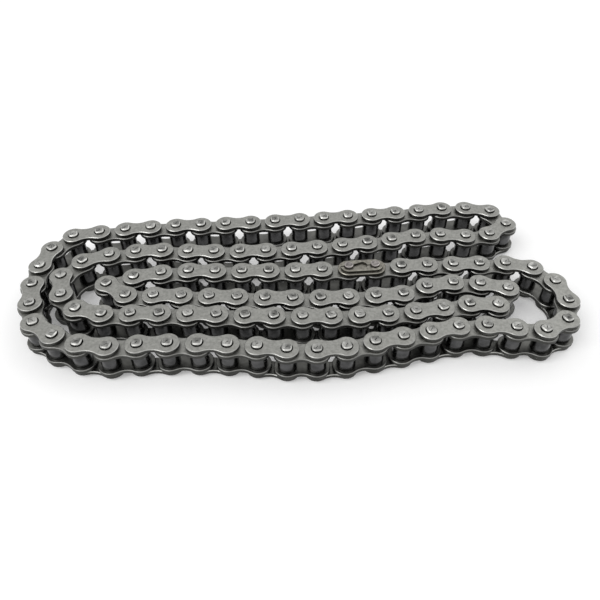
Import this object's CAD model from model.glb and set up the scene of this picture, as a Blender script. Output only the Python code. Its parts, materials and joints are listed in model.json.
import json
import math

import bmesh
import bpy
from mathutils import Matrix, Vector


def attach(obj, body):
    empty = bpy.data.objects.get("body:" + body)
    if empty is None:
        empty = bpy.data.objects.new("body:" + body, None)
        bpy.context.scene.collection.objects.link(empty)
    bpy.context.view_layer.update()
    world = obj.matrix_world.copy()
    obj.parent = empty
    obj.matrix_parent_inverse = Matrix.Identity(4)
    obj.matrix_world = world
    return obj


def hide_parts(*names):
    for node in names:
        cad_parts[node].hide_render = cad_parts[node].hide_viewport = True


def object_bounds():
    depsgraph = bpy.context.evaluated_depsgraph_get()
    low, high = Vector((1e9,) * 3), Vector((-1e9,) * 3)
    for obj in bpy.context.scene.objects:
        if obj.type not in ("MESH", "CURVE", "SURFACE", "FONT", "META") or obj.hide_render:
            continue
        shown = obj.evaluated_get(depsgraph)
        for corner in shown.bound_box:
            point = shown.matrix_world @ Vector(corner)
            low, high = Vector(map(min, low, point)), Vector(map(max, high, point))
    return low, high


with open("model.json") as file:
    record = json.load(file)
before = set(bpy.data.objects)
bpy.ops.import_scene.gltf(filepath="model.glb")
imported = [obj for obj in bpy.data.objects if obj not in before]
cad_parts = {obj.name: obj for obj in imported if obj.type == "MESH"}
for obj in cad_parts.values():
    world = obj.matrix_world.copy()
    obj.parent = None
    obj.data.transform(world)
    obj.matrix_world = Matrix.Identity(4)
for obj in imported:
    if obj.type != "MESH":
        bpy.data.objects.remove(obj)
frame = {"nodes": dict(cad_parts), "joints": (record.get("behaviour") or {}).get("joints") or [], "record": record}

bl_info = {
    "name": "Motorcycle Roller Chain",
    "version": (1, 0, 0),
    "blender": (4, 5, 0),
    "location": "View3D > Sidebar > Chain",
    "description": "Dresses a coiled roller chain with bevelled links, riveted pins and worn steel",
    "category": "Object",
}

CAD_BOX = [list(corner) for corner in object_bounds()]
NODES = frame["nodes"]
BODY_OF = {
    node: body for body, members in frame["record"]["behaviour"]["bodies"].items() for node in members
}
MM = 0.001

# Heights by which the frame's solids are told apart.
PLATE_HEIGHT = 2.0 * MM
CLIP_HEIGHT = 0.9 * MM
PIN_END_HEIGHT = 3.2 * MM
ROLLER_HEIGHT = 7.55 * MM
BUSH_HEIGHT = 11.93 * MM
HEIGHT_SLACK = 0.1 * MM

# How finely round shapes are drawn.
PIN_SIDES = 20
TUBE_SIDES = 24
PLATE_END_STEPS = 16
WAIST_STEPS = 5
OVAL_END_STEPS = 14

# What counts as the same point, an end face, a sharp edge, a smooth one, an upright face or a hole's edge.
POINT_SLACK = 1e-6
MOST_WALL_CORNERS = 8
SHARP_EDGE = math.radians(40)
SMOOTH_BELOW = math.radians(32)
UPRIGHT_LIMIT = 0.1
HOLE_SLACK = 1.02

# A cutting tool's height, in thicknesses of the plate that it goes through.
THROUGH = 3

# Rims of tubes and of the clip, the tube's also as a share of its wall and the clip's of its thickness.
TUBE_RIM = 0.3 * MM
TUBE_RIM_SHARE = 0.3
CLIP_RIM_SHARE = 0.16

# A rivet head's rim is staked out where its wave is low, and drawn in by a share of that where it is high.
HOLLOWS_ABOVE = 0.9
LOBES_BELOW = -0.5
HOLLOW_SHARE = 0.5

# Steps of a head's dish: width as a share of the pin's radius, depth as a share of the dimple's.
DISH_STEPS = ((0.26, 0.45), (0.22, 0.55))

# Material slots that follow the one for faces.
RIM_SLOT = 1
RING_SLOT = 2
PIN_SIDE_SLOT = 2
SIDE_SLOT = 3
INSIDE_SLOT = 4

# Worn steel: the ends of its clouds' ramp, the spread of its gloss, and its fine grain.
CLOUDS_DARK = 0.35
CLOUDS_LIGHT = 0.68
GLOSSIER = 0.08
DULLER = 0.10
GRAIN_FINER = 12
GRAIN_DEPTH = 0.05 * MM

# The floor and its glow, which grows from a near to a far distance.
FLOOR_SIZE = 6.0
FLOOR_LEVEL = -0.02 * MM
GLOW_NEAR = 0.3
GLOW_FAR = 1.6
LEAST_GLOW = 0.2
MOST_GLOW = 0.42

# Light of the white surroundings, and the lamps: name, place, size and power.
STUDIO_LIGHT = 0.75
LAMPS = (
    ("key_lamp", (-1.1, -0.8, 1.7), 1.2, 17.5),
    ("fill_lamp", (1.1, 0.7, 1.6), 1.3, 4.0),
)

# The photograph's camera, solved from the pins that stand one pitch apart.
FRAME_PIXELS = 600
FOCAL_PIXELS = 620.5
MIDDLE_PIXEL_X = 314.1
CAMERA_PLACE = Vector((7.4, -219.1, 216.2)) * MM
CAMERA_TILT = math.radians(45.15)
CAMERA_ROLL = math.radians(0.84)
SENSOR = 36.0

# The modelled mesh of each kind of piece, kept for its copies.
patterns = {}


class ChainSizes(bpy.types.PropertyGroup):
    """Sizes of the chain's pieces."""

    pitch: bpy.props.FloatProperty(
        name="Pitch", description="Distance between neighbouring pins", default=12.7 * MM, unit="LENGTH"
    )
    outer_radius: bpy.props.FloatProperty(
        name="Outer plate end", description="End radius of an outer plate", default=5.3 * MM, unit="LENGTH"
    )
    outer_waist: bpy.props.FloatProperty(
        name="Outer waist", description="How far an outer plate pulls in", default=1.5 * MM, unit="LENGTH"
    )
    inner_radius: bpy.props.FloatProperty(
        name="Inner plate end", description="End radius of an inner plate", default=5.9 * MM, unit="LENGTH"
    )
    inner_waist: bpy.props.FloatProperty(
        name="Inner waist", description="How far an inner plate pulls in", default=1.55 * MM, unit="LENGTH"
    )
    cover_radius: bpy.props.FloatProperty(
        name="Connecting plate end", description="End radius of a connecting plate",
        default=5.15 * MM, unit="LENGTH",
    )
    pin_radius: bpy.props.FloatProperty(
        name="Pin", description="Radius of a pin", default=2.25 * MM, unit="LENGTH"
    )
    bush_radius: bpy.props.FloatProperty(
        name="Bush", description="Outer radius of a bush", default=3.15 * MM, unit="LENGTH"
    )
    roller_radius: bpy.props.FloatProperty(
        name="Roller", description="Outer radius of a roller", default=4.255 * MM, unit="LENGTH"
    )
    fit: bpy.props.FloatProperty(
        name="Fit", description="Radial clearance round pins and bushes", default=0.05 * MM, unit="LENGTH"
    )
    groove_radius: bpy.props.FloatProperty(
        name="Clip groove", description="Radius at the bottom of the clip groove",
        default=1.65 * MM, unit="LENGTH",
    )
    groove_width: bpy.props.FloatProperty(
        name="Groove width", description="Height of the clip groove", default=0.96 * MM, unit="LENGTH"
    )
    pin_tip: bpy.props.FloatProperty(
        name="Pin tip", description="Height of a connecting pin over its groove",
        default=1.1 * MM, unit="LENGTH",
    )
    clip_radius: bpy.props.FloatProperty(
        name="Clip", description="End radius of the spring clip", default=3.85 * MM, unit="LENGTH"
    )
    bow_radius: bpy.props.FloatProperty(
        name="Clip bow", description="Half width of the clip's slot at its bow", default=2.45 * MM,
        unit="LENGTH",
    )
    bow_place: bpy.props.FloatProperty(
        name="Bow place", description="From the first pin to the bow", default=6.45 * MM, unit="LENGTH"
    )
    slot_start: bpy.props.FloatProperty(
        name="Slot start", description="Half width of the clip's slot by the first pin",
        default=0.75 * MM, unit="LENGTH",
    )
    neck_radius: bpy.props.FloatProperty(
        name="Clip neck", description="Half width of the clip's mouth, and of its slot by the closed end",
        default=0.28 * MM, unit="LENGTH",
    )
    plate_rim: bpy.props.FloatProperty(
        name="Plate rim", description="Rounding of the plates' edges", default=0.27 * MM, unit="LENGTH"
    )
    hole_ring: bpy.props.FloatProperty(
        name="Hole ring", description="Width of the oily ring round a pin", default=0.42 * MM, unit="LENGTH"
    )
    head_rim: bpy.props.FloatProperty(
        name="Rivet rim", description="Slope round the rivet heads", default=0.5 * MM, unit="LENGTH"
    )
    head_height: bpy.props.FloatProperty(
        name="Rivet head", description="Height of a head over its plate", default=1.2 * MM, unit="LENGTH"
    )
    head_lobe: bpy.props.FloatProperty(
        name="Rivet lobes", description="How far the four staked lobes stand out", default=0.27 * MM,
        unit="LENGTH",
    )
    head_dimple: bpy.props.FloatProperty(
        name="Rivet dimple", description="Depth of the dish in a rivet head", default=0.22 * MM,
        unit="LENGTH",
    )


class ChainColours(bpy.types.PropertyGroup):
    """Colours of the chain's steels and of the floor."""

    plate: bpy.props.FloatVectorProperty(
        name="Plates", description="Oiled plate steel", default=(0.29, 0.29, 0.272), subtype="COLOR"
    )
    rim: bpy.props.FloatVectorProperty(
        name="Rims", description="Worn edge of a plate", default=(0.4, 0.4, 0.382), subtype="COLOR"
    )
    pin: bpy.props.FloatVectorProperty(
        name="Pins", description="Riveted pin steel", default=(0.265, 0.265, 0.253), subtype="COLOR"
    )
    roller: bpy.props.FloatVectorProperty(
        name="Rollers", description="Hardened roller steel", default=(0.083, 0.083, 0.084), subtype="COLOR"
    )
    connecting: bpy.props.FloatVectorProperty(
        name="Connecting link", description="Tempered bronze tint", default=(0.232, 0.223, 0.193),
        subtype="COLOR",
    )
    connecting_pin: bpy.props.FloatVectorProperty(
        name="Connecting pins", description="Rosy tempered tint", default=(0.218, 0.203, 0.196),
        subtype="COLOR",
    )
    floor: bpy.props.FloatVectorProperty(
        name="Floor", description="Pale floor", default=(0.82, 0.82, 0.82), subtype="COLOR"
    )


def worn_steel(name, colour, roughness, patch=260.0, shade=0.22, grain=0.12):
    """Oiled steel with cloudy patches, a fine grain and uneven gloss."""
    material = bpy.data.materials.get(name)
    if material:
        return material
    material = bpy.data.materials.new(name)
    material.use_nodes = True
    nodes, links = material.node_tree.nodes, material.node_tree.links
    shader = nodes["Principled BSDF"]
    shader.inputs["Metallic"].default_value = 1.0
    place = nodes.new("ShaderNodeTexCoord")
    clouds = nodes.new("ShaderNodeTexNoise")
    clouds.inputs["Scale"].default_value = patch
    clouds.inputs["Detail"].default_value = 6.0
    links.new(place.outputs["Object"], clouds.inputs["Vector"])
    tint = nodes.new("ShaderNodeValToRGB")
    tint.color_ramp.elements[0].position = CLOUDS_DARK
    tint.color_ramp.elements[1].position = CLOUDS_LIGHT
    tint.color_ramp.elements[0].color = (*(channel * (1 - shade) for channel in colour), 1)
    tint.color_ramp.elements[1].color = (*(channel * (1 + shade) for channel in colour), 1)
    links.new(clouds.outputs["Fac"], tint.inputs["Fac"])
    links.new(tint.outputs["Color"], shader.inputs["Base Color"])
    fine = nodes.new("ShaderNodeTexNoise")
    fine.inputs["Scale"].default_value = patch * GRAIN_FINER
    fine.inputs["Detail"].default_value = 4.0
    links.new(place.outputs["Object"], fine.inputs["Vector"])
    gloss = nodes.new("ShaderNodeMapRange")
    gloss.inputs["To Min"].default_value = roughness - GLOSSIER
    gloss.inputs["To Max"].default_value = roughness + DULLER
    links.new(fine.outputs["Fac"], gloss.inputs["Value"])
    links.new(gloss.outputs["Result"], shader.inputs["Roughness"])
    bump = nodes.new("ShaderNodeBump")
    bump.inputs["Strength"].default_value = grain
    bump.inputs["Distance"].default_value = GRAIN_DEPTH
    links.new(fine.outputs["Fac"], bump.inputs["Height"])
    links.new(bump.outputs["Normal"], shader.inputs["Normal"])
    return material


def shaded(colour, share):
    """A darker or lighter colour of the same tint."""
    return [channel * share for channel in colour]


def finishes(kind):
    """The materials of a piece, in the order of its slots.

    Faces and worn edges come first, then a plate's hole rims, sides and inner face, or the side of a
    connecting pin.
    """
    colours = bpy.context.scene.chain_colours
    if kind in ("roller", "bush"):
        face = worn_steel("hard_roller", colours.roller, roughness=0.18, shade=0.3)
        return face, worn_steel("roller_edge", shaded(colours.roller, 1.3), roughness=0.2)
    if kind in ("pin", "pin_end"):
        face = worn_steel("riveted_pin", colours.pin, roughness=0.36, patch=300.0, shade=0.6, grain=0.6)
        return face, worn_steel("riveted_edge", shaded(colours.rim, 1.32), roughness=0.4, shade=0.25)
    if kind == "connecting_pin":
        tint = colours.connecting_pin
        face = worn_steel("tempered_pin", tint, roughness=0.34, patch=600.0, shade=0.5, grain=0.4)
        rim = worn_steel("tempered_pin_edge", shaded(tint, 1.7), roughness=0.3, shade=0.15)
        return face, rim, worn_steel("oily_pin_side", shaded(tint, 0.25), roughness=0.4)
    ring = worn_steel("oily_ring", shaded(colours.plate, 0.16), roughness=0.5)
    inside = worn_steel("oily_inside", shaded(colours.plate, 0.45), roughness=0.36)
    if kind in ("connecting_plate", "clip"):
        tint = colours.connecting
        face = worn_steel("tempered_bronze", tint, roughness=0.36, patch=700.0, shade=0.3)
        rim = worn_steel("tempered_edge", shaded(tint, 1.15), roughness=0.34, shade=0.15)
        return face, rim, ring, worn_steel("tempered_side", shaded(tint, 0.28), roughness=0.45), inside
    side = worn_steel("punched_side", shaded(colours.plate, 0.2), roughness=0.42)
    if kind == "outer_plate":
        face = worn_steel("outer_face", colours.plate, roughness=0.42, patch=900.0, shade=0.16)
        rim = worn_steel("outer_rim", colours.rim, roughness=0.34, shade=0.15)
        return face, rim, ring, side, inside
    face = worn_steel("inner_face", shaded(colours.plate, 0.84), roughness=0.42, patch=900.0, shade=0.16)
    rim = worn_steel("inner_rim", shaded(colours.rim, 0.55), roughness=0.38, shade=0.15)
    return face, rim, ring, side, inside


def deselect():
    """Leave edit mode with nothing selected."""
    if bpy.context.mode != "OBJECT":
        bpy.ops.object.mode_set(mode="OBJECT")
    bpy.ops.object.select_all(action="DESELECT")


def choose(piece):
    """Select one piece alone and make it the active one."""
    deselect()
    bpy.context.view_layer.objects.active = piece
    piece.select_set(True)


def edit(kind):
    """Edit the active piece by its edges or faces, with none of them selected."""
    bpy.ops.object.mode_set(mode="EDIT")
    bpy.ops.mesh.select_mode(type=kind)
    bpy.ops.mesh.select_all(action="DESELECT")


def pick(piece, part, test):
    """Select in edit mode the vertices, edges or faces that pass a test."""
    mesh = bmesh.from_edit_mesh(piece.data)
    for item in getattr(mesh, part):
        item.select_set(bool(test(item)))
    mesh.select_flush_mode()
    bmesh.update_edit_mesh(piece.data)


def at_height(item, height):
    """Whether an edge or a face lies level at a height."""
    return all(abs(vertex.co.z - height) < POINT_SLACK for vertex in item.verts)


def end_face(face):
    """Whether a face closes a cylinder, as walls and bevels have few corners."""
    return len(face.verts) > MOST_WALL_CORNERS


def upright(face):
    """Whether a face is a wall of a piece that lies flat."""
    return abs(face.normal.z) < UPRIGHT_LIMIT


def extrude(rise):
    """Draw new faces up from the selected ones, or down for a negative rise."""
    bpy.ops.mesh.extrude_region_move(TRANSFORM_OT_translate={"value": (0, 0, rise)})


def starting_point(x, y):
    """A new mesh of one selected vertex, from which an outline is spun."""
    deselect()
    bpy.ops.mesh.primitive_plane_add(size=MM, location=(0, 0, 0))
    piece = bpy.context.object
    bpy.ops.object.mode_set(mode="EDIT")
    bpy.ops.mesh.select_mode(type="VERT")
    bpy.ops.mesh.select_all(action="SELECT")
    bpy.ops.mesh.merge(type="CENTER")
    bpy.ops.transform.translate(value=(x, y, 0))
    return piece


def sweep(x, y, angle, steps):
    """Carry the outline's last vertex round a centre, counter-clockwise for a positive angle."""
    bpy.ops.mesh.spin(steps=steps, angle=angle, center=(x, y, 0), axis=(0, 0, -1))


def close_outline(piece, thickness):
    """Fill an outline and raise it to a plate that stands on its base plane."""
    bpy.ops.mesh.select_all(action="SELECT")
    bpy.ops.mesh.remove_doubles(threshold=POINT_SLACK)
    bpy.ops.mesh.edge_face_add()
    extrude(thickness)
    bpy.ops.mesh.select_all(action="SELECT")
    bpy.ops.mesh.normals_make_consistent(inside=False)
    bpy.ops.object.mode_set(mode="OBJECT")
    return piece


def plate_with_waist(radius, waist_depth, thickness):
    """A plate of two round ends, joined without a corner by two hollow arcs."""
    sizes = bpy.context.scene.chain_sizes
    half = sizes.pitch / 2
    waist = radius - waist_depth
    hollow = (half**2 + waist**2 - radius**2) / (2 * waist_depth)
    meet = math.atan2(waist + hollow, half)
    piece = starting_point(radius * math.cos(meet), radius * math.sin(meet))
    sweep(0, 0, 2 * math.pi - 2 * meet, PLATE_END_STEPS)
    sweep(half, -(waist + hollow), 2 * meet - math.pi, WAIST_STEPS)
    sweep(sizes.pitch, 0, 2 * math.pi - 2 * meet, PLATE_END_STEPS)
    sweep(half, waist + hollow, 2 * meet - math.pi, WAIST_STEPS)
    return close_outline(piece, thickness)


def oval(radius, start, length, thickness, low=0.0, end_radius=None):
    """A straight-sided plate with two round ends, of one radius or of two."""
    end_radius = end_radius or radius
    piece = starting_point(start, radius)
    sweep(start, 0, math.pi, OVAL_END_STEPS)
    bpy.ops.mesh.extrude_vertices_move(
        TRANSFORM_OT_translate={"value": (length, radius - end_radius, 0)}
    )
    sweep(start + length, 0, math.pi, OVAL_END_STEPS)
    close_outline(piece, thickness)
    piece.data.transform(Matrix.Translation((0, 0, low)))
    return piece


def cut(piece, tool):
    """Cut one solid out of another."""
    hole = piece.modifiers.new("cut", "BOOLEAN")
    hole.operation = "DIFFERENCE"
    hole.solver = "EXACT"
    hole.object = tool
    choose(piece)
    bpy.ops.object.modifier_apply(modifier=hole.name)
    bpy.data.objects.remove(tool)


def drill(piece, x, radius, thickness):
    """Cut a round hole through a plate."""
    deselect()
    bpy.ops.mesh.primitive_cylinder_add(
        vertices=PIN_SIDES, radius=radius, depth=THROUGH * thickness, location=(x, 0, thickness / 2)
    )
    cut(piece, bpy.context.object)


def round_rims(piece, heights, width, segments=2, material=RIM_SLOT, where=lambda edge: True):
    """Round the edges that lie at given heights, and give the rounding a material of its own."""
    choose(piece)
    edit("EDGE")
    pick(
        piece,
        "edges",
        lambda edge: any(at_height(edge, height) for height in heights)
        and len(edge.link_faces) == 2
        and edge.calc_face_angle(0) > SHARP_EDGE
        and where(edge),
    )
    bpy.ops.mesh.bevel(
        offset=width, segments=segments, affect="EDGES", material=material, clamp_overlap=True
    )
    bpy.ops.object.mode_set(mode="OBJECT")


def finished(piece, kind):
    """Shade the pattern, and keep its mesh for the copies."""
    choose(piece)
    bpy.ops.object.shade_smooth_by_angle(angle=SMOOTH_BELOW)
    mesh = piece.data
    mesh.name = f"{kind}_pattern"
    mesh.use_fake_user = True
    bpy.data.objects.remove(piece)
    return mesh


def with_finishes(piece, kind):
    """Give a new piece the materials of its kind."""
    for material in finishes(kind):
        piece.data.materials.append(material)
    return piece


def paint(piece, slot, test):
    """Give the faces that pass a test the material of a slot."""
    edit("FACE")
    pick(piece, "faces", test)
    piece.active_material_index = slot
    bpy.ops.object.material_slot_assign()
    bpy.ops.object.mode_set(mode="OBJECT")


def finish_plate(piece, kind, thickness, hole):
    """Drill a plate for its two pins, round its rims and leave an oily ring at each hole."""
    sizes = bpy.context.scene.chain_sizes
    for x in (0, sizes.pitch):
        drill(piece, x, hole, thickness)

    def at_hole(edge):
        return all(
            min(math.hypot(v.co.x - x, v.co.y) for x in (0, sizes.pitch)) < hole * HOLE_SLACK
            for v in edge.verts
        )

    round_rims(piece, (0, thickness), sizes.plate_rim, segments=1, where=lambda edge: not at_hole(edge))
    round_rims(piece, (0, thickness), sizes.hole_ring, segments=1, material=RING_SLOT, where=at_hole)
    paint(piece, SIDE_SLOT, upright)
    paint(piece, INSIDE_SLOT, lambda face: at_height(face, 0))
    return finished(piece, kind)


def link_plate(kind, thickness):
    """An outer or an inner plate."""
    sizes = bpy.context.scene.chain_sizes
    if kind == "outer_plate":
        radius, waist, hole = sizes.outer_radius, sizes.outer_waist, sizes.pin_radius + sizes.fit
    else:
        radius, waist, hole = sizes.inner_radius, sizes.inner_waist, sizes.bush_radius + sizes.fit
    piece = with_finishes(plate_with_waist(radius, waist, thickness), kind)
    return finish_plate(piece, kind, thickness, hole)


def connecting_plate(kind, thickness):
    """A straight-sided plate of the connecting link."""
    sizes = bpy.context.scene.chain_sizes
    piece = with_finishes(oval(sizes.cover_radius, 0, sizes.pitch, thickness), kind)
    return finish_plate(piece, kind, thickness, sizes.pin_radius + sizes.fit)


def rod(kind, radius, length, sides):
    """A cylinder that stands on its base plane, with the materials of its kind."""
    deselect()
    bpy.ops.mesh.primitive_cylinder_add(vertices=sides, radius=radius, depth=length, location=(0, 0, 0))
    piece = with_finishes(bpy.context.object, kind)
    piece.data.transform(Matrix.Translation((0, 0, length / 2)))
    return piece


def wave(vertex):
    """1 on the pin's lines of x and y, and -1 at the diagonals."""
    return math.cos(4 * math.atan2(vertex.co.y, vertex.co.x))


def stake(piece, test, distance):
    """Move the vertices that pass a test out from the pin's axis, or in for a negative distance."""
    pick(piece, "verts", test)
    wider = 1 + distance / bpy.context.scene.chain_sizes.pin_radius
    bpy.ops.transform.resize(value=(wider, wider, 1))


def spread_head(piece, height, direction):
    """Set a head apart from its pin's shank and stake its rim out in four lobes at the diagonals."""
    sizes = bpy.context.scene.chain_sizes
    edit("FACE")
    pick(piece, "faces", lambda face: at_height(face, height) and end_face(face))
    bpy.ops.transform.translate(value=(0, 0, -direction * sizes.head_height))
    extrude(direction * sizes.head_height)
    bpy.ops.mesh.select_mode(type="VERT")

    def at_rim(vertex):
        return abs(vertex.co.z - height) < POINT_SLACK

    stake(
        piece,
        lambda vertex: at_rim(vertex) and wave(vertex) > HOLLOWS_ABOVE,
        -HOLLOW_SHARE * sizes.head_lobe,
    )
    stake(piece, lambda vertex: at_rim(vertex) and wave(vertex) < LOBES_BELOW, sizes.head_lobe)
    bpy.ops.object.mode_set(mode="OBJECT")


def dish(piece, height, direction):
    """Press the shallow dimple of a rivet head into an end face."""
    sizes = bpy.context.scene.chain_sizes
    edit("FACE")
    pick(piece, "faces", lambda face: at_height(face, height) and end_face(face))
    for width, depth in DISH_STEPS:
        bpy.ops.mesh.inset(thickness=sizes.pin_radius * width)
        bpy.ops.transform.translate(value=(0, 0, -direction * sizes.head_dimple * depth))
    bpy.ops.object.mode_set(mode="OBJECT")


def riveted_pin(kind, length):
    """A pin with a staked head at each end, or a pin's end with one."""
    sizes = bpy.context.scene.chain_sizes
    piece = rod(kind, sizes.pin_radius, length, PIN_SIDES)
    heads = ((length, 1),) if kind == "pin_end" else ((length, 1), (0, -1))
    for height, direction in heads:
        spread_head(piece, height, direction)
    round_rims(piece, [height for height, direction in heads], sizes.head_rim, segments=1)
    for height, direction in heads:
        dish(piece, height, direction)
    return finished(piece, kind)


def grooved_pin(kind, length):
    """A connecting pin, with a groove for the clip under its tip."""
    sizes = bpy.context.scene.chain_sizes
    body = length - sizes.groove_width - sizes.pin_tip
    piece = rod(kind, sizes.pin_radius, body, PIN_SIDES)
    edit("FACE")
    pick(piece, "faces", lambda face: at_height(face, body) and end_face(face))
    bpy.ops.mesh.inset(thickness=sizes.pin_radius - sizes.groove_radius)
    extrude(sizes.groove_width)
    extrude(0)
    wider = sizes.pin_radius / sizes.groove_radius
    bpy.ops.transform.resize(value=(wider, wider, 1))
    extrude(sizes.pin_tip)
    bpy.ops.object.mode_set(mode="OBJECT")
    round_rims(piece, (0, length), sizes.head_rim)
    dish(piece, length, 1)
    paint(piece, PIN_SIDE_SLOT, upright)
    return finished(piece, kind)


def tube(kind, length):
    """A bush or a roller: a ring with rounded ends."""
    sizes = bpy.context.scene.chain_sizes
    if kind == "bush":
        outer, bore = sizes.bush_radius, sizes.pin_radius + sizes.fit
    else:
        outer, bore = sizes.roller_radius, sizes.bush_radius + sizes.fit
    piece = rod(kind, outer, length, TUBE_SIDES)
    edit("FACE")
    pick(piece, "faces", end_face)
    bpy.ops.mesh.inset(thickness=outer - bore)
    bpy.ops.mesh.delete(type="ONLY_FACE")
    bpy.ops.mesh.select_mode(type="EDGE")
    pick(piece, "edges", lambda edge: len(edge.link_faces) == 1)
    bpy.ops.mesh.bridge_edge_loops()
    bpy.ops.mesh.select_all(action="SELECT")
    bpy.ops.mesh.normals_make_consistent(inside=False)
    bpy.ops.object.mode_set(mode="OBJECT")
    round_rims(piece, (0, length), min(TUBE_RIM, (outer - bore) * TUBE_RIM_SHARE), segments=1)
    return finished(piece, kind)


def clip_plate(kind, thickness):
    """The spring clip: an open mouth, a slot that widens to a bow, a neck and a closed end."""
    sizes = bpy.context.scene.chain_sizes
    slot = sizes.groove_radius + sizes.fit
    past_mouth = 2 * sizes.clip_radius
    piece = with_finishes(oval(sizes.clip_radius, 0, sizes.pitch, thickness), kind)
    for radius, start, end, end_radius in (
        (sizes.neck_radius, -past_mouth, 0, sizes.neck_radius),
        (slot, -sizes.neck_radius, 0, slot),
        (sizes.slot_start, sizes.groove_radius, sizes.bow_place, sizes.bow_radius),
        (sizes.neck_radius, sizes.bow_place, sizes.pitch, sizes.neck_radius),
        (slot, sizes.pitch - sizes.neck_radius, sizes.pitch, slot),
    ):
        cut(piece, oval(radius, start, end - start, THROUGH * thickness, -thickness, end_radius))
    round_rims(piece, (0, thickness), thickness * CLIP_RIM_SHARE)
    paint(piece, SIDE_SLOT, upright)
    return finished(piece, kind)


MAKERS = {
    "outer_plate": link_plate,
    "inner_plate": link_plate,
    "connecting_plate": connecting_plate,
    "pin": riveted_pin,
    "pin_end": riveted_pin,
    "connecting_pin": grooved_pin,
    "bush": tube,
    "roller": tube,
    "clip": clip_plate,
}
SPANNING = ("outer_plate", "inner_plate", "connecting_plate", "clip")


def pattern(kind, height):
    """The one modelled piece of a kind, made when it is first asked for."""
    if kind not in patterns:
        patterns[kind] = MAKERS[kind](kind, height)
    return patterns[kind]


def solids(node):
    """Middle, lowest and highest level of each solid in a node of the frame."""
    mesh = bmesh.new()
    mesh.from_mesh(NODES[node].data)
    bmesh.ops.remove_doubles(mesh, verts=mesh.verts, dist=POINT_SLACK)
    waiting = set(mesh.verts)
    found = []
    for start in mesh.verts:
        if start not in waiting:
            continue
        waiting.remove(start)
        group = [start]
        for vertex in group:
            for edge in vertex.link_edges:
                other = edge.other_vert(vertex)
                if other in waiting:
                    waiting.remove(other)
                    group.append(other)
        middle = sum((vertex.co for vertex in group), Vector()) / len(group)
        levels = [vertex.co.z for vertex in group]
        found.append((middle, min(levels), max(levels)))
    mesh.free()
    return found


def kind_of(node, height):
    """What a solid is, from its height and its node."""
    if abs(height - CLIP_HEIGHT) < HEIGHT_SLACK:
        return "clip"
    if abs(height - PLATE_HEIGHT) < HEIGHT_SLACK:
        if node.startswith("connecting"):
            return "connecting_plate"
        return "inner_plate" if "inner" in node else "outer_plate"
    if abs(height - ROLLER_HEIGHT) < HEIGHT_SLACK:
        return "roller"
    if abs(height - BUSH_HEIGHT) < HEIGHT_SLACK:
        return "bush"
    if abs(height - PIN_END_HEIGHT) < HEIGHT_SLACK:
        return "pin_end"
    return "connecting_pin" if node.startswith("connecting") else "pin"


def pin_places():
    """Where the pins stand, seen from above."""
    places = []
    for node in NODES:
        if node.startswith("outer_link") or node in ("nest_pins", "connecting_pins"):
            for middle, low, high in solids(node):
                if kind_of(node, high - low) in ("pin", "pin_end", "connecting_pin"):
                    places.append(middle.xy)
    return places


PINS = pin_places()
MIDDLE_LEVEL = (CAD_BOX[0][2] + CAD_BOX[1][2]) / 2
CLIP_WAY = next(
    Vector(joint["axis"]).xy for joint in frame["joints"] if joint["child"] == BODY_OF["spring_clip"]
)


def place_of(kind, middle, low, high):
    """Where a copy of a pattern goes.

    A spanning piece runs from one of its pins to the other, and a round piece is turned in line with a
    pin beside its own. A plate or pin end of the lower half lies face down, as its base is the side that
    faces the rollers.
    """
    near = sorted(PINS, key=lambda pin: (pin - middle.xy).length)
    first = near[0]
    second = next(pin for pin in near if (pin - first).length > MM)
    if (second - first).dot(CLIP_WAY) < 0:
        first, second = second, first
    way = second - first
    turn = Matrix.Rotation(math.atan2(way.y, way.x), 4, "Z")
    start = first if kind in SPANNING else middle
    if kind in (*SPANNING, "pin_end") and high < MIDDLE_LEVEL:
        return Matrix.Translation((start.x, start.y, high)) @ turn @ Matrix.Rotation(math.pi, 4, "X")
    return Matrix.Translation((start.x, start.y, low)) @ turn


def dress(node):
    """Set copies of the patterns in the places of a node's solids, as one piece."""
    copies = []
    for middle, low, high in solids(node):
        kind = kind_of(node, high - low)
        mesh = pattern(kind, high - low).copy()
        mesh.transform(place_of(kind, middle, low, high))
        copy = bpy.data.objects.new(f"{node}_look", mesh)
        bpy.context.scene.collection.objects.link(copy)
        copies.append(copy)
    deselect()
    for copy in copies:
        copy.select_set(True)
    bpy.context.view_layer.objects.active = copies[0]
    if len(copies) > 1:
        bpy.ops.object.join()
    piece = bpy.context.view_layer.objects.active
    piece.name = f"{node}_look"
    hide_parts(node)
    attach(piece, BODY_OF[node])


def dress_all(test):
    """Dress the nodes whose names pass a test."""
    chosen = sorted(node for node in NODES if test(node))
    if not chosen:
        raise RuntimeError("the frame has none of these pieces")
    for node in chosen:
        dress(node)
    return {"FINISHED"}


class CHAIN_OT_swinging_links(bpy.types.Operator):
    """The links that swing clear of the nest"""

    bl_idname = "chain.swinging_links"
    bl_label = "Swinging Links"

    def execute(self, context):
        return dress_all(lambda node: node.startswith(("inner_link", "outer_link")))


class CHAIN_OT_nest_plates(bpy.types.Operator):
    """Inner and outer plates of the links that lie in the nest"""

    bl_idname = "chain.nest_plates"
    bl_label = "Nest Plates"

    def execute(self, context):
        return dress_all(lambda node: node.startswith("nest") and "plates" in node)


class CHAIN_OT_nest_pins(bpy.types.Operator):
    """Riveted pins of the nest"""

    bl_idname = "chain.nest_pins"
    bl_label = "Nest Pins"

    def execute(self, context):
        return dress_all(lambda node: node == "nest_pins")


class CHAIN_OT_bushes(bpy.types.Operator):
    """Bushes of the nest"""

    bl_idname = "chain.bushes"
    bl_label = "Bushes"

    def execute(self, context):
        return dress_all(lambda node: node == "nest_bushes")


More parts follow.
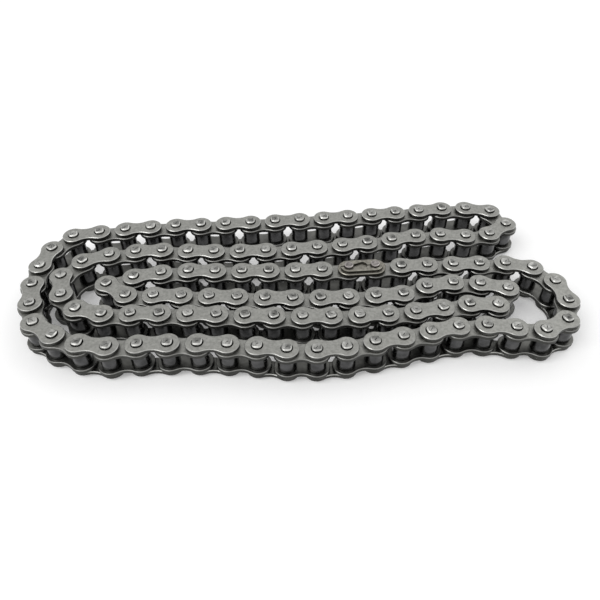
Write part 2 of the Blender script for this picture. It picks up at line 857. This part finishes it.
class CHAIN_OT_rollers(bpy.types.Operator):
    """Rollers of the nest, and those that turn by themselves"""

    bl_idname = "chain.rollers"
    bl_label = "Rollers"

    def execute(self, context):
        return dress_all(lambda node: node == "nest_rollers" or node.startswith("free_roller"))


class CHAIN_OT_connecting_link(bpy.types.Operator):
    """Pin plate, grooved pins and cover plate of the connecting link"""

    bl_idname = "chain.connecting_link"
    bl_label = "Connecting Link"

    def execute(self, context):
        return dress_all(lambda node: node.startswith("connecting"))


class CHAIN_OT_spring_clip(bpy.types.Operator):
    """The spring clip on the connecting link"""

    bl_idname = "chain.spring_clip"
    bl_label = "Spring Clip"

    def execute(self, context):
        return dress_all(lambda node: node == "spring_clip")


def seen_directly(nodes, links):
    """1 where the camera looks, straight or by way of metal or glass, and 0 for other light."""
    path = nodes.new("ShaderNodeLightPath")
    total = path.outputs["Is Camera Ray"]
    for ray in ("Is Glossy Ray", "Is Transmission Ray"):
        add = nodes.new("ShaderNodeMath")
        add.use_clamp = True
        links.new(total, add.inputs[0])
        links.new(path.outputs[ray], add.inputs[1])
        total = add.outputs["Value"]
    return total


def pale_floor(colour):
    """A matt floor that shows white to the camera and in reflections, and keeps its shadow.

    It glows more towards its edges, where the lamps no longer reach.
    """
    material = bpy.data.materials.new("pale_floor")
    material.use_nodes = True
    nodes, links = material.node_tree.nodes, material.node_tree.links
    nodes.remove(nodes["Principled BSDF"])
    matt = nodes.new("ShaderNodeBsdfDiffuse")
    matt.inputs["Color"].default_value = (*colour, 1)
    glow = nodes.new("ShaderNodeEmission")
    strength = nodes.new("ShaderNodeMath")
    strength.operation = "MULTIPLY"
    place = nodes.new("ShaderNodeTexCoord")
    distance = nodes.new("ShaderNodeVectorMath")
    distance.operation = "LENGTH"
    links.new(place.outputs["Object"], distance.inputs[0])
    level = nodes.new("ShaderNodeMapRange")
    level.inputs["From Min"].default_value = GLOW_NEAR
    level.inputs["From Max"].default_value = GLOW_FAR
    level.inputs["To Min"].default_value = LEAST_GLOW
    level.inputs["To Max"].default_value = MOST_GLOW
    links.new(distance.outputs["Value"], level.inputs["Value"])
    links.new(level.outputs["Result"], strength.inputs[1])
    both = nodes.new("ShaderNodeAddShader")
    links.new(seen_directly(nodes, links), strength.inputs[0])
    links.new(strength.outputs["Value"], glow.inputs["Strength"])
    links.new(matt.outputs["BSDF"], both.inputs[0])
    links.new(glow.outputs["Emission"], both.inputs[1])
    links.new(both.outputs["Shader"], nodes["Material Output"].inputs["Surface"])
    return material


def white_studio():
    """A world that is plain white to the camera and in reflections, and lights matt things a little less."""
    world = bpy.data.worlds.new("studio")
    world.use_nodes = True
    nodes, links = world.node_tree.nodes, world.node_tree.links
    strength = nodes.new("ShaderNodeMapRange")
    strength.inputs["To Min"].default_value = STUDIO_LIGHT
    strength.inputs["To Max"].default_value = 1.0
    links.new(seen_directly(nodes, links), strength.inputs["Value"])
    nodes["Background"].inputs["Color"].default_value = (1, 1, 1, 1)
    links.new(strength.outputs["Result"], nodes["Background"].inputs["Strength"])
    return world


def soft_lamp(name, place, size, power):
    """A square lamp that faces the chain."""
    deselect()
    bpy.ops.object.light_add(type="AREA", location=place)
    lamp = bpy.context.object
    lamp.name = name
    lamp.data.size = size
    lamp.data.energy = power
    lamp.rotation_euler = (-Vector(place)).to_track_quat("-Z", "Y").to_euler()


def photo_camera():
    """A camera that stands and looks as the photograph's did."""
    deselect()
    bpy.ops.object.camera_add()
    camera = bpy.context.object
    camera.data.sensor_width = SENSOR
    camera.data.lens = SENSOR * FOCAL_PIXELS / FRAME_PIXELS
    camera.data.shift_x = (FRAME_PIXELS / 2 - MIDDLE_PIXEL_X) / FRAME_PIXELS
    camera.data.clip_start = 1 * MM
    across = Vector((1, 0, 0))
    above = Vector((0, math.sin(CAMERA_TILT), math.cos(CAMERA_TILT)))
    ahead = Vector((0, math.cos(CAMERA_TILT), -math.sin(CAMERA_TILT)))
    right = math.cos(CAMERA_ROLL) * across + math.sin(CAMERA_ROLL) * above
    up = math.cos(CAMERA_ROLL) * above - math.sin(CAMERA_ROLL) * across
    turn = Matrix((right, up, -ahead)).transposed()
    camera.matrix_world = Matrix.Translation(CAMERA_PLACE) @ turn.to_4x4()
    bpy.context.scene.camera = camera


class CHAIN_OT_stage(bpy.types.Operator):
    """Pale floor, soft studio light and the photograph's camera"""

    bl_idname = "chain.stage"
    bl_label = "Stage"

    def execute(self, context):
        deselect()
        bpy.ops.mesh.primitive_plane_add(size=FLOOR_SIZE, location=(0, 0, FLOOR_LEVEL))
        floor = context.object
        floor.name = "floor"
        floor.data.materials.append(pale_floor(context.scene.chain_colours.floor))
        for name, place, size, power in LAMPS:
            soft_lamp(name, place, size, power)
        context.scene.world = white_studio()
        photo_camera()
        context.scene.view_settings.view_transform = "Standard"
        return {"FINISHED"}


OPERATORS = (
    CHAIN_OT_swinging_links,
    CHAIN_OT_nest_plates,
    CHAIN_OT_nest_pins,
    CHAIN_OT_bushes,
    CHAIN_OT_rollers,
    CHAIN_OT_connecting_link,
    CHAIN_OT_spring_clip,
    CHAIN_OT_stage,
)


class CHAIN_PT_panel(bpy.types.Panel):
    """Lists the chain's pieces"""

    bl_idname = "CHAIN_PT_panel"
    bl_label = "Roller Chain"
    bl_space_type = "VIEW_3D"
    bl_region_type = "UI"
    bl_category = "Chain"

    def draw(self, context):
        for operator in OPERATORS:
            self.layout.operator(operator.bl_idname)
        for settings in (context.scene.chain_sizes, context.scene.chain_colours):
            for name in settings.__annotations__:
                self.layout.prop(settings, name)


CLASSES = (ChainSizes, ChainColours, *OPERATORS, CHAIN_PT_panel)


def register():
    for chain_class in CLASSES:
        bpy.utils.register_class(chain_class)
    bpy.types.Scene.chain_sizes = bpy.props.PointerProperty(type=ChainSizes)
    bpy.types.Scene.chain_colours = bpy.props.PointerProperty(type=ChainColours)


def unregister():
    del bpy.types.Scene.chain_colours
    del bpy.types.Scene.chain_sizes
    for chain_class in reversed(CLASSES):
        bpy.utils.unregister_class(chain_class)


def main():
    register()
    bpy.ops.chain.swinging_links()
    bpy.ops.chain.nest_plates()
    bpy.ops.chain.nest_pins()
    bpy.ops.chain.bushes()
    bpy.ops.chain.rollers()
    bpy.ops.chain.connecting_link()
    bpy.ops.chain.spring_clip()
    bpy.ops.chain.stage()


if __name__ == "__main__":
    main()
